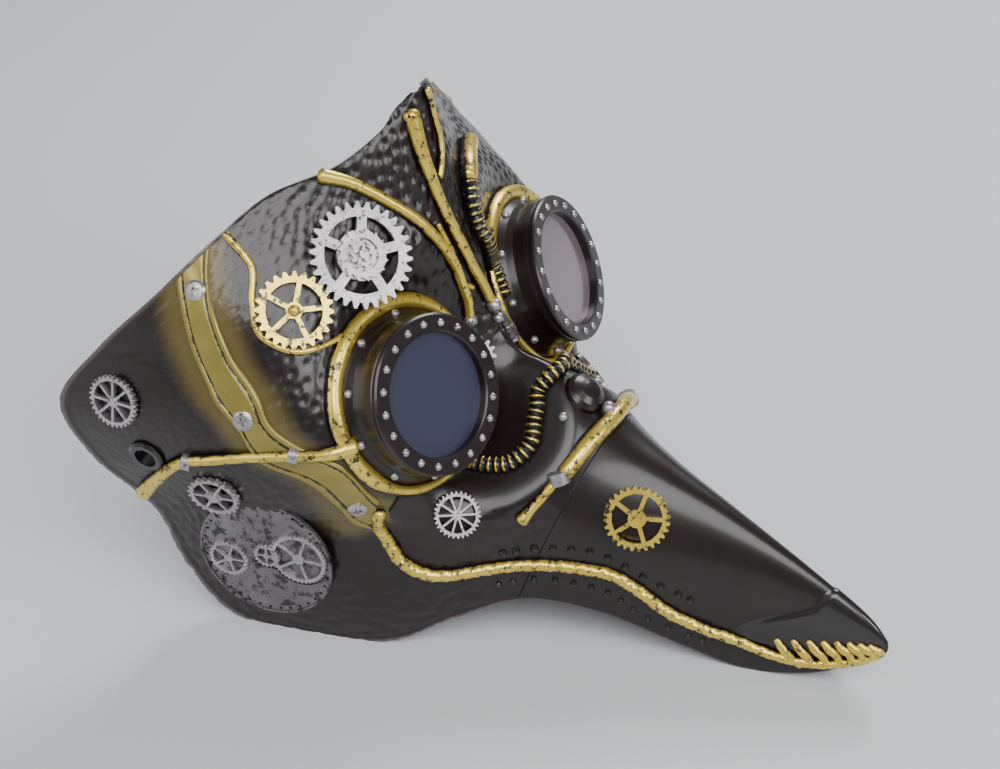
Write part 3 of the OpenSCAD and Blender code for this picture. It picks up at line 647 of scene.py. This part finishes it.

# %% [markdown]
# ## Pipes, hoses and the jaw band
# Piping is smooth and a little uneven under its paint. The hoses are rigid mouldings with close
# ribs, black between, which is partly painted shade. The jaw band is rougher, like chewed metal.
# A curve with a bevel could make them, but a ring at each step of the route can swell and can carry
# its own grime and painted shade.

# %% Routes
# Each row of a route is [station, share, height over the skin, radius]
CHEEK = [[9.37, .485, 2, 3.2], [9.27, .55, 1.4, 2.1], [9.1, .6, 1.2, 1.9], [8.97, .67, 1.2, 1.9],
         [8.96, .74, 1.2, 1.9], [9, .81, 1.2, 2], [9.37, .9, 1.2, 2.3], [9.66, .975, 1.4, 3]]
BROW = [[3.27, .97, 1.6, 2.6], [3.37, .72, 1.3, 2.1], [3.73, .46, 1.2, 1.9], [4.3, .25, 1.2, 1.9],
        [5.3, .1, 1.2, 1.9], [6.3, .05, 1.2, 1.8], [7.1, .045, 1, 1.7]]
CREST = [[1.4, .52, 1.4, 3.1], [2.4, .33, 1.4, 2.5], [3.3, .2, 1.3, 2.1], [4.2, .11, 1.3, 2],
         [5.1, .05, 1.3, 2], [6.2, .01, 1.3, 1.9], [7, 0, 1.2, 1.8]]
WIRES = [[[.6, .05, .8, 1.3], [1.2, 0, .8, 1.2], [2, -.02, .8, 1.1], [2.5, 0, .8, 1.1], [3.3, .12, .8, 1.1]],
         [[4.4, .16, .6, 1], [5.1, .1, .6, 1], [5.8, .07, .6, 1], [6.3, .03, .6, 1]]]
HOSE_TOP = [[3.85, -.19, 2.2, 2.9], [4.3, -.1, 2.2, 2.9], [4.85, -.07, 2.2, 2.9], [5.45, -.07, 2.2, 2.9],
            [6.3, -.11, 2.2, 2.9], [7, -.1, 2.2, 2.9], [7.6, -.085, 2.2, 2.9]]
ELBOW = [[4.35, -.52, 1.6, 3.2], [4, -.4, 2, 3.2], [3.8, -.29, 2.2, 3.3], [3.85, -.18, 2.2, 3.3]]
BRIDGE = [[13.35, .38, 1.8, 2.9], [13.85, .4, 2.2, 2.9], [14.1, .37, 2.4, 2.9], [14.15, .27, 2.4, 2.9],
          [13.85, .15, 2.4, 2.9], [13.35, .07, 2.8, 2.9]]
SOCKET = [[12.95, .375, 1.4, 3.4], [13.15, .375, 1.6, 3.3], [13.4, .38, 1.8, 3.2]]
GEAR_PIPE = [[4.75, .98, .8, 1.4], [5.1, .84, .7, 1.3], [5.63, .775, .7, 1.2], [6.1, .715, .7, 1.2],
             [6.33, .65, .7, 1.1], [6.43, .585, .7, 1.1], [6.27, .505, .7, 1], [6, .42, .7, .9]]
JAW = [[11.75, .575, .8, 2.2], [12.4, .63, .8, 2.3], [12.8, .705, .8, 2.4], [13.2, .75, .8, 2.4],
       [13.8, .79, .8, 2.2], [14.4, .8, .8, 2.2], [15, .805, .8, 2.2], [15.5, .79, .8, 2.2],
       [15.95, .775, .8, 2.2], [16.35, .8, .8, 2.2], [16.75, .84, .8, 2.2], [17.25, .845, .8, 2.1],
       [17.9, .83, .8, 2], [18.6, .87, .8, 1.8], [19.3, .9, .7, 1.7], [20, .92, .7, 1.5],
       [20.6, .92, .6, 1.2]]
COLLAR = [[14.63, .37, 1.6, 3], [14.68, .28, 1.6, 3], [14.72, .18, 1.6, 3], [14.77, .06, 1.7, 3]]
BRANCH = [[14.55, .44, 1, 1.8], [14.5, .5, 1, 1.7], [14.44, .55, .9, 1.7], [14.38, .6, .8, 2.4]]
BRIDGE_TOP = [[13.15, 0, 3, 2.9]]
HOSE_RIBS = {"slot": "hose_paint", "pitch": 2.6, "depth": 0.3, "step": 0.3}


def across_middle(rows, middle=()):
    """A route that goes on over the middle line and down the other side."""
    return [*rows, *middle, *mirrored(rows)[::-1]]


print("routes", [len(rows) for rows in (CHEEK, BROW, CREST, HOSE_TOP, ELBOW, BRIDGE, GEAR_PIPE, JAW)])

# %% Tubes
tubes("brow_piping", [BROW], GOLD, nodes=["brow_pipe"], rough=0.03)
tubes("crest_piping", [CREST], GOLD, nodes=["crest_tube"], rough=0.03)
tubes("crest_strands", WIRES, GOLD, nodes=["crest_wire"], rough=0.04)
tubes("forehead_hose_ribs", [HOSE_TOP], HOSE, nodes=["forehead_hose"], **HOSE_RIBS)
tubes("hose_elbow", [ELBOW], GOLD, nodes=["forehead_hose_elbow"], rough=0.02)
tubes("bridge_hose_ribs", [across_middle(BRIDGE, BRIDGE_TOP)], HOSE, nodes=["bridge_hose"],
      **HOSE_RIBS)
tubes("hose_sockets", [SOCKET, mirrored(SOCKET)], GOLD, nodes=["bridge_hose_sockets"], rough=0.02)
tubes("gear_piping", [GEAR_PIPE], GOLD, nodes=["gear_pipe"], rough=0.04)
tubes("collar_pipe", [across_middle(COLLAR)], GOLD, nodes=["beak_collar"], rough=0.02)
for side, word in SIDES:
    cheek, branch, jaw = (rows if side > 0 else mirrored(rows) for rows in (CHEEK, BRANCH, JAW))
    tubes("cheek_piping_" + word, [cheek], GOLD, nodes=["cheek_tube_" + word], rough=0.03)
    tubes("collar_pipe_end_" + word, [branch], GOLD, nodes=["collar_branch_" + word], rough=0.03)
    tubes("jaw_band_" + word, [jaw], GOLD, nodes=["mouth_band_" + word], rough=0.13, step=0.5)

# %% [markdown]
# ## Eye piping and claws
# A gold ring lies round each goggle's foot. It is thick over the top and the outer side and thins
# underneath, so it is worked out as a ring whose section changes with the angle. Along the tip a
# row of short tapered claws runs down into the jaw band.

# %% Eye rings and claws
ROUND, SECTION = 160, 24
RING_R, RING_UP, THIN, SWELL = 32.4, 1.3, 1.5, 1.4


def eye_ring(name, side, node):
    """Ring round the goggle's foot, thick over the top and the outer side and thin underneath."""
    a = np.linspace(0, 2 * np.pi, ROUND, endpoint=False)
    b = np.linspace(0, 2 * np.pi, SECTION, endpoint=False)
    across = np.cross([0, 0, 1], EYE_N)
    across /= np.linalg.norm(across)
    rise = np.cross(EYE_N, across)
    outward = np.cos(a)[:, None] * across + np.sin(a)[:, None] * rise
    toward_top = outward @ (0.7 * rise + np.array([-0.7, 0, 0]))
    thick = THIN + SWELL * ease((toward_top + 0.3) / 0.6) + 0.12 * np.sin(9 * a)
    centre = EYE_C + (RING_UP - CUP) * EYE_N + RING_R * outward
    section = np.cos(b)[:, None] * outward[:, None] + np.sin(b)[:, None] * EYE_N
    points = centre[:, None] + thick[:, None, None] * section
    # painted shade: the ring's side against the skin is kept dark, along with grime
    grime = np.broadcast_to(0.8 * (1 - ease((np.sin(b) + 0.7) / 1.0)), points.shape[:2])
    at = np.arange(ROUND * SECTION).reshape(ROUND, SECTION)
    on, up_one = np.roll(at, -1, axis=0), np.roll(at, -1, axis=1)
    quads = np.stack([at, on, np.roll(on, -1, axis=1), up_one], -1).reshape(-1, 4)
    if side < 0:
        points, quads = points * MIRROR, quads[:, ::-1]
    rest_on_floor(points)
    make_piece(name, points.reshape(-1, 3), quads.tolist(), GOLD, [node], "gold_paint", 60, grime=grime)


def claw(k):
    """Route of the claw k places from the first: each starts further out and a little higher."""
    u, top = 18.4 + 0.26 * k, 0.75 - 0.025 * k
    return [[u, top, .8, 1.1], [u + .17, top + .06, 1, 1.7], [u + .35, top + .12, .9, 1.6],
            [min(u + .5, 20.7), .92, .6, 1.1]]


for side, word in SIDES:
    eye_ring("eye_piping_" + word, side, "eye_ring_" + word)
claws = [claw(k) for k in range(8)]
tubes("tip_claws", claws + [mirrored(c) for c in claws], GOLD, nodes=["beak_claws"], rough=0.05, sides=16)

# %% [markdown]
# ## Studio
# A pale floor and four large soft lights. The key and the one before the beak give the gloss its
# long highlights, the rim light parts the far side from the floor, and the fill opens the shadows.
# The camera looks down at the mask from its right.

# %% Floor and light
bpy.ops.mesh.primitive_plane_add(size=6, location=(0, 0, -0.0002))
floor = bpy.context.object
floor.name = "floor"
floor.data.materials.append(FLOOR)


def soft_light(name, place, aim, power, size):
    """Square area light at a place, turned to face the aim."""
    data = bpy.data.lights.new(name, "AREA")
    data.energy, data.size = power, size
    lamp = bpy.data.objects.new(name, data)
    bpy.context.scene.collection.objects.link(lamp)
    back = np.array(place, float) - aim
    back /= np.linalg.norm(back)
    right = np.cross([0, 0, 1], back) if abs(back[2]) < 0.99 else np.array([1.0, 0, 0])
    right /= np.linalg.norm(right)
    turned = np.stack([right, np.cross(back, right), back], 1)
    lamp.matrix_world = Matrix([[*row, p] for row, p in zip(turned, place)] + [[0, 0, 0, 1]])


AIM = np.array([0, 0, 0.09])
LIGHTS = (("key", (-0.75, -0.5, 1.1), 17, 0.9), ("fill", (-0.9, 0.7, 0.6), 5, 0.9),
          ("rim", (0.8, 0.1, 0.8), 9, 0.5), ("beak", (-0.1, -1.1, 0.7), 6, 0.5))
for name, place, watts, size in LIGHTS:
    soft_light(name, place, AIM, watts, size)
world = bpy.data.worlds.new("studio")
bpy.context.scene.world = world
world.use_nodes = True
background = world.node_tree.nodes["Background"]
background.inputs["Color"].default_value = (0.8, 0.82, 0.85, 1)
background.inputs["Strength"].default_value = 0.3
print("lights", [light[0] for light in LIGHTS])

# %% Camera
AZIMUTH, ELEVATION = math.radians(-60.62), math.radians(34.71)
right = np.array([math.cos(AZIMUTH), math.sin(AZIMUTH), 0])
back = np.array([math.sin(AZIMUTH) * math.cos(ELEVATION),
                 -math.cos(AZIMUTH) * math.cos(ELEVATION), math.sin(ELEVATION)])
up = np.cross(back, right)
CAMERA_AT = (-0.5025, -0.2656, 0.4781)
lens = bpy.data.cameras.new("camera")
lens.sensor_width, lens.lens = 36, 70.27
camera = bpy.data.objects.new("camera", lens)
bpy.context.scene.collection.objects.link(camera)
camera.matrix_world = Matrix([[right[k], up[k], back[k], CAMERA_AT[k]] for k in range(3)]
                             + [[0, 0, 0, 1]])
bpy.context.scene.camera = camera
print("camera at", CAMERA_AT, "lens", lens.lens)
